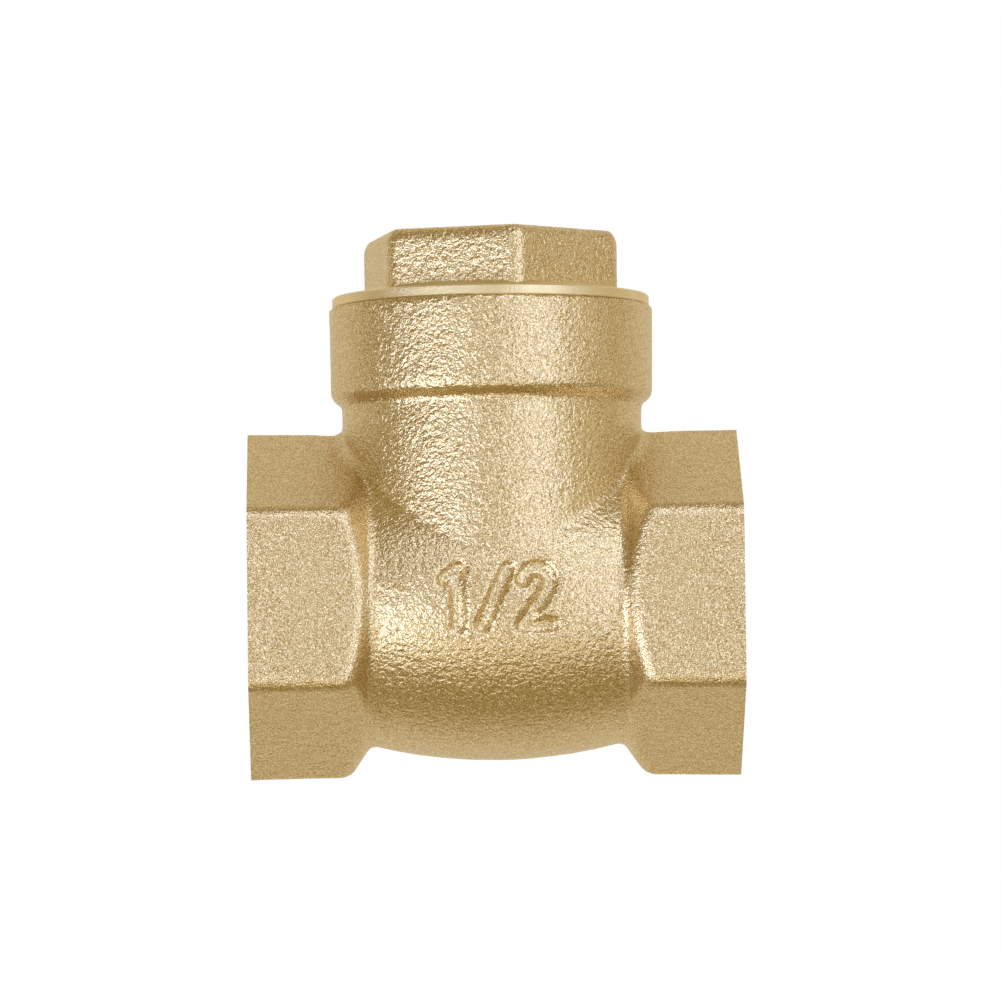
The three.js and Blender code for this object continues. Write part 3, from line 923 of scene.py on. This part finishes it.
def rubber_face():
    inner = BOLT_RADIUS + SIDE_GAP
    back = GAP + SEAL_THICKNESS
    made = ring("rubber_face", inner, SEAL_RADIUS, GAP, back, RUBBER, SEAT @ TO_X)
    soften(made, width_mm=0.15, segments=3)
    finish_piece(made, "disc", "seal_disc")


def clamp_washer():
    place = SEAT @ TO_X
    inner = BOLT_RADIUS + SIDE_GAP
    front = -WASHER_THICKNESS
    made = ring("clamp_washer", inner, WASHER_RADIUS, front, 0, STEEL, place, SMALL_ROUND)
    soften(made, width_mm=0.12)
    finish_piece(made, "disc", "seal_washer")


def bolt_thread_trim(radius, height):
    return np.minimum(radius, BOLT_THREAD_RADIUS - BOLT_TIP_CHAMFER + (BOLT_TIP - height))


def slotted_bolt():
    """A cheese-head bolt with a plain shoulder and a threaded end."""
    place = SEAT @ TO_X
    head_back = -WASHER_THICKNESS - GAP
    head_front = head_back - BOLT_HEAD_HEIGHT
    dome = []
    for angle in np.linspace(0, BOLT_DOME_ANGLE, 9):
        drop = BOLT_DOME_HEIGHT * (1 - math.cos(angle))
        dome.append((BOLT_HEAD_RADIUS * math.sin(angle), head_front + drop))
    profile = [
        *dome,
        (BOLT_HEAD_RADIUS, head_front + BOLT_DOME_HEIGHT),
        (BOLT_HEAD_RADIUS, head_back),
        (BOLT_RADIUS, head_back),
        (BOLT_RADIUS, SHOULDER_END),
        (0, SHOULDER_END),
    ]
    made = turned("slotted_bolt", profile, STEEL, place, SMALL_ROUND)
    soften(made, width_mm=0.08)
    ends = (SHOULDER_END - 0.05, BOLT_TIP)
    join(made, threaded_rod("bolt_thread", BOLT_THREAD, *ends, STEEL, bolt_thread_trim, place))
    slot_low = (head_front - BEYOND, -BOLT_SLOT_HALF_WIDTH, -BOLT_HEAD_RADIUS - BEYOND)
    slot_high = (head_front + BOLT_SLOT_DEPTH, BOLT_SLOT_HALF_WIDTH, BOLT_HEAD_RADIUS + BEYOND)
    cut(made, box("slot", slot_low, slot_high, STEEL, SEAT))
    finish_piece(made, "disc", "disc_bolt")


def spring_washer():
    """A split ring whose ends are cut on a slant."""
    inner = BOLT_THREAD_RADIUS + SIDE_GAP
    faces = (LOCK_WASHER_FRONT, LOCK_WASHER_FRONT + LOCK_WASHER_THICKNESS)
    place = SEAT @ TO_X
    made = ring("spring_washer", inner, LOCK_WASHER_RADIUS, *faces, STEEL, place, SMALL_ROUND)
    lean = Matrix.Rotation(LOCK_WASHER_LEAN, 4, "Z")
    middle = Matrix.Translation((LOCK_WASHER_FRONT + LOCK_WASHER_THICKNESS / 2, 0, 0))
    split_low = (-BEYOND, -LOCK_WASHER_SPLIT, inner - BEYOND)
    split_high = (BEYOND, LOCK_WASHER_SPLIT, LOCK_WASHER_RADIUS + BEYOND)
    cut(made, box("split", split_low, split_high, STEEL, SEAT @ middle @ lean))
    soften(made, width_mm=0.06)
    finish_piece(made, "disc", "lock_washer")


def hex_nut():
    """A hexagon nut with its corners chamfered on both faces."""
    place = SEAT @ TO_X
    back = NUT_FRONT + NUT_HEIGHT
    corner = NUT_FLATS / math.sqrt(3)
    bar = disc("hex_nut", corner, NUT_FRONT, back, STEEL, place, segments=6)
    rim = NUT_FLATS / 2 - 0.1
    outer = corner + 0.1
    chamfer = (outer - rim) * NUT_CHAMFER_SLOPE
    profile = [
        (0, NUT_FRONT),
        (rim, NUT_FRONT),
        (outer, NUT_FRONT + chamfer),
        (outer, back - chamfer),
        (rim, back),
        (0, back),
    ]
    combine(bar, turned("nut_chamfer", profile, STEEL, place, SMALL_ROUND), "INTERSECT")
    bore = BOLT_THREAD_RADIUS + GAP
    hole = [
        (0, NUT_FRONT - BEYOND),
        (bore, NUT_FRONT - BEYOND),
        (bore, back - 0.25),
        (bore + 0.3, back + 0.05),
        (bore + 0.3, back + BEYOND),
        (0, back + BEYOND),
    ]
    cut(bar, turned("nut_hole", hole, STEEL, place, SMALL_ROUND))
    soften(bar, width_mm=0.05)
    finish_piece(bar, "disc", "disc_nut")


# ---- Floor, lights and camera -------------------------------------------------------------------

FLOOR_DROP = 480
FLOOR_REACH = 4000
FLOOR_THICKNESS = 10
LAMP_DISTANCE = 900
SURROUND_FRONT = (0.34, 0.255, 0.1)
SURROUND_BACK = (0.72, 0.64, 0.48)
SURROUND_RISE = (-0.05, 0.55)
LAMP_WHITE = (0.86, 1.0, 1.33)
FILL_WHITE = (1.0, 1.0, 0.93)
# Azimuth and elevation in degrees, width and height, radiance, colour. Azimuth 0 is in front of
# the valve and 90 is the outlet's side.
SOFTBOXES = {
    "left_softbox": (-45, -15, 900, 430, 2.3, LAMP_WHITE),
    "right_softbox": (34, 0, 560, 800, 1.24, LAMP_WHITE),
    "top_softbox": (22, 46, 1100, 400, 1.5, LAMP_WHITE),
    "left_strip": (-20, 10, 250, 700, 0.55, LAMP_WHITE),
    "front_fill": (6, 8, 420, 420, 0.26, FILL_WHITE),
    "low_fill": (0, -38, 900, 300, 0.9, FILL_WHITE),
    "side_fill": (75, 10, 500, 800, 0.35, FILL_WHITE),
}
CAMERA_DISTANCE = 752
CAMERA_AZIMUTH = math.radians(0.98)
CAMERA_ELEVATION = math.radians(3.82)
CAMERA_ROLL = math.radians(-0.7)
CAMERA_LENS = 301.6
CAMERA_CLIP_M = 10
CAMERA_TARGET = Vector((END + 0.73, 0, 9.3)) * MM


def camera():
    """Looks along +Y from slightly below the valve."""
    level_reach = math.cos(CAMERA_ELEVATION)
    x = math.sin(CAMERA_AZIMUTH) * level_reach
    y = math.cos(CAMERA_AZIMUTH) * level_reach
    forward = Vector((x, y, math.sin(CAMERA_ELEVATION)))
    level = Vector((math.cos(CAMERA_AZIMUTH), -math.sin(CAMERA_AZIMUTH), 0))
    upright = level.cross(forward)
    right = level * math.cos(CAMERA_ROLL) + upright * math.sin(CAMERA_ROLL)
    up = right.cross(forward)
    lens = bpy.data.cameras.new("camera")
    lens.lens = CAMERA_LENS
    lens.clip_end = CAMERA_CLIP_M
    made = bpy.data.objects.new("camera", lens)
    turn = Matrix((right, up, -forward)).transposed().to_4x4()
    made.matrix_world = Matrix.Translation(CAMERA_TARGET - forward * CAMERA_DISTANCE * MM) @ turn
    bpy.context.scene.collection.objects.link(made)
    bpy.context.scene.camera = made


def softbox(name, azimuth, elevation, width_mm, height_mm, radiance, colour):
    """A lamp of even brightness that faces the valve."""
    around = math.radians(azimuth)
    above = math.radians(elevation)
    x = math.sin(around) * math.cos(above)
    y = -math.cos(around) * math.cos(above)
    away = Vector((x, y, math.sin(above)))
    lamp = bpy.data.lights.new(name, "AREA")
    lamp.shape = "RECTANGLE"
    lamp.size = width_mm * MM
    lamp.size_y = height_mm * MM
    lamp.color = colour
    lamp.energy = radiance * math.pi * lamp.size * lamp.size_y
    made = bpy.data.objects.new(name, lamp)
    turn = (-away).to_track_quat("-Z", "Y").to_matrix().to_4x4()
    made.matrix_world = Matrix.Translation(CAMERA_TARGET + away * LAMP_DISTANCE * MM) @ turn
    made.visible_camera = False
    bpy.context.scene.collection.objects.link(made)


def backdrop():
    """A surround that is brighter behind the valve than in front, and plain white to the camera."""
    world = bpy.data.worlds.new("backdrop")
    world.use_nodes = True
    tree = world.node_tree
    background = tree.nodes["Background"]
    direction = tree.nodes.new("ShaderNodeTexCoord")
    parts = tree.nodes.new("ShaderNodeSeparateXYZ")
    rise = tree.nodes.new("ShaderNodeMapRange")
    rise.interpolation_type = "SMOOTHSTEP"
    rise.inputs["From Min"].default_value = SURROUND_RISE[0]
    rise.inputs["From Max"].default_value = SURROUND_RISE[1]
    shade = tree.nodes.new("ShaderNodeMix")
    shade.data_type = "RGBA"
    shade.inputs[MIX_FIRST].default_value = (*SURROUND_FRONT, 1)
    shade.inputs[MIX_SECOND].default_value = (*SURROUND_BACK, 1)
    ray = tree.nodes.new("ShaderNodeLightPath")
    seen = tree.nodes.new("ShaderNodeMix")
    seen.data_type = "RGBA"
    seen.inputs[MIX_SECOND].default_value = (1, 1, 1, 1)
    tree.links.new(direction.outputs["Generated"], parts.inputs["Vector"])
    tree.links.new(parts.outputs["Y"], rise.inputs["Value"])
    tree.links.new(rise.outputs["Result"], shade.inputs[MIX_FACTOR])
    tree.links.new(shade.outputs[MIX_RESULT], seen.inputs[MIX_FIRST])
    tree.links.new(ray.outputs["Is Camera Ray"], seen.inputs[MIX_FACTOR])
    tree.links.new(seen.outputs[MIX_RESULT], background.inputs["Color"])
    bpy.context.scene.world = world


def studio():
    backdrop()
    nodes = Nodes("pale_floor", Roughness=0.9, Emission_Strength=0.5)
    nodes.set("Base Color", nodes.mix(nodes.noise(40), (0.86, 0.86, 0.86), (0.9, 0.9, 0.9)))
    nodes.set("Emission Color", nodes.mix(nodes.noise(60), (0.96, 0.96, 0.98), (1.0, 0.99, 0.98)))
    drop = -HEX_CORNER - FLOOR_DROP
    floor_low = (-FLOOR_REACH, -FLOOR_REACH, drop - FLOOR_THICKNESS)
    floor = box("floor", floor_low, (FLOOR_REACH, FLOOR_REACH, drop), nodes.material)
    floor.visible_glossy = False
    for name, values in SOFTBOXES.items():
        softbox(name, *values)
    bpy.context.scene.view_settings.view_transform = "Standard"


camera()
forged_body()
screwed_cap()
sealing_ring()
pivot_pin()
swing_arm()
disc_cup()
rubber_face()
clamp_washer()
slotted_bolt()
spring_washer()
hex_nut()
studio()
